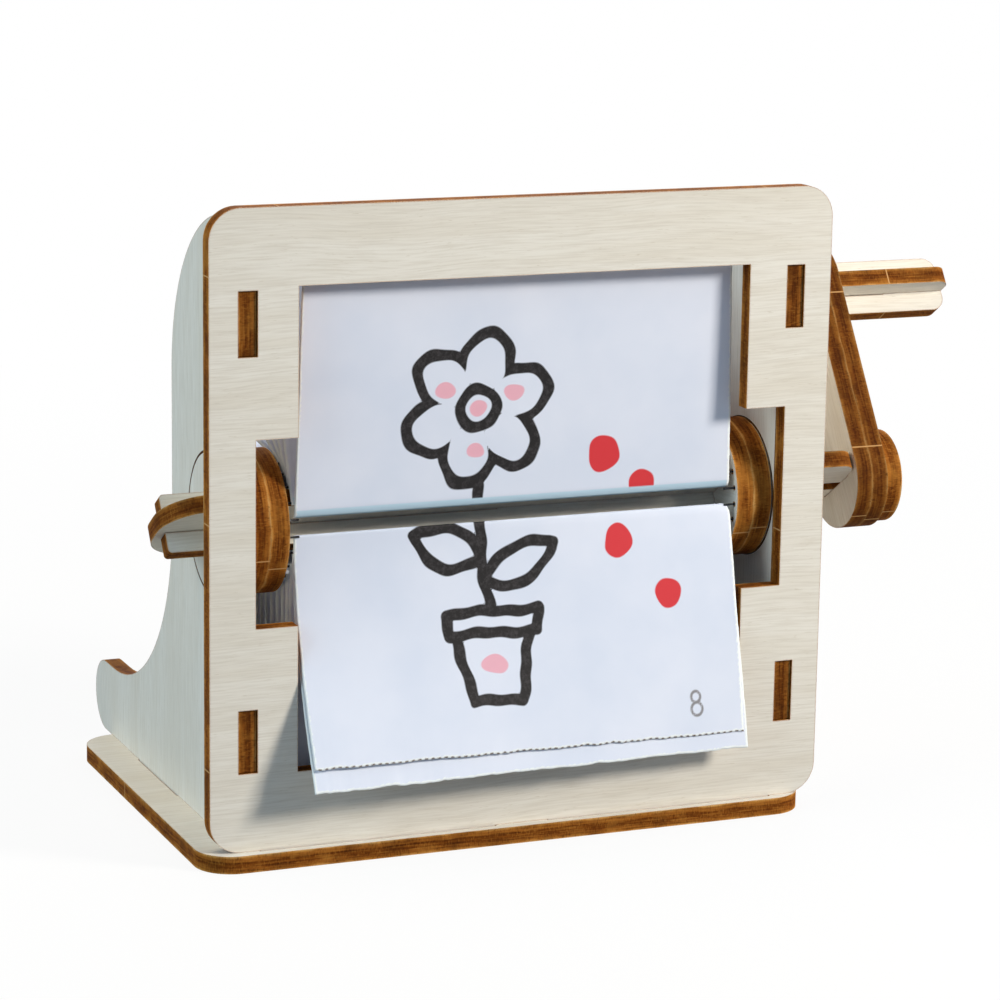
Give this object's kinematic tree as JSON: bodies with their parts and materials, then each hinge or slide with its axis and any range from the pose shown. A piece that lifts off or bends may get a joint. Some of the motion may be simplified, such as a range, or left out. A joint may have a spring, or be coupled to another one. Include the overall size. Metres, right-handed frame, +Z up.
{
  "type": "hand-cranked flip-book machine",
  "caption": "Tabletop flip-book viewer: plywood window frame and stand holding a cranked drum of picture flaps that drop one by one.",
  "frame": {"origin": "centre of the base plate's underside", "axes": "+X towards the crank, +Y to the back away from the viewer, +Z up"},
  "size_m": [0.1454, 0.0847, 0.1026],
  "materials": {
    "plywood": "smooth laser-cut plywood with charred edges",
    "card": "glossy printed card"
  },
  "bodies": {
    "stand": {"base_plate": "plywood", "front_frame": "plywood", "left_side_panel": "plywood", "right_side_panel": "plywood", "flap_02": "card", "flap_03": "card", "flap_04": "card", "flap_05": "card", "flap_06": "card", "flap_07": "card", "flap_08": "card", "flap_09": "card", "flap_10": "card", "flap_11": "card", "flap_12": "card", "flap_13": "card", "flap_14": "card", "flap_15": "card", "flap_16": "card", "flap_17": "card", "flap_18": "card", "flap_19": "card", "flap_20": "card", "flap_21": "card", "flap_22": "card", "flap_23": "card", "flap_24": "card"},
    "drum": {"left_bearing_disc": "plywood", "right_bearing_disc": "plywood", "left_hub_outer": "plywood", "left_hub_inner": "plywood", "right_hub_inner": "plywood", "right_hub_outer": "plywood", "axle_slat_wide": "plywood", "axle_slat_narrow": "plywood", "crank_arm_inner": "plywood", "crank_arm_outer": "plywood", "crank_cap": "plywood", "handle_slat_level": "plywood", "handle_slat_upright": "plywood"},
    "front_flap": {"flap_01": "card"}
  },
  "joints": [
    {"name": "crank_turn", "type": "hinge", "parent": "stand", "child": "drum", "pos_m": [0, -0.01975, 0.0517], "axis": [1, 0, 0], "continuous": true},
    {"name": "flap_swing", "type": "hinge", "parent": "stand", "child": "front_flap", "pos_m": [0, -0.02983, 0.05099], "axis": [-1, 0, 0], "range_deg": [0, 160]}
  ]
}
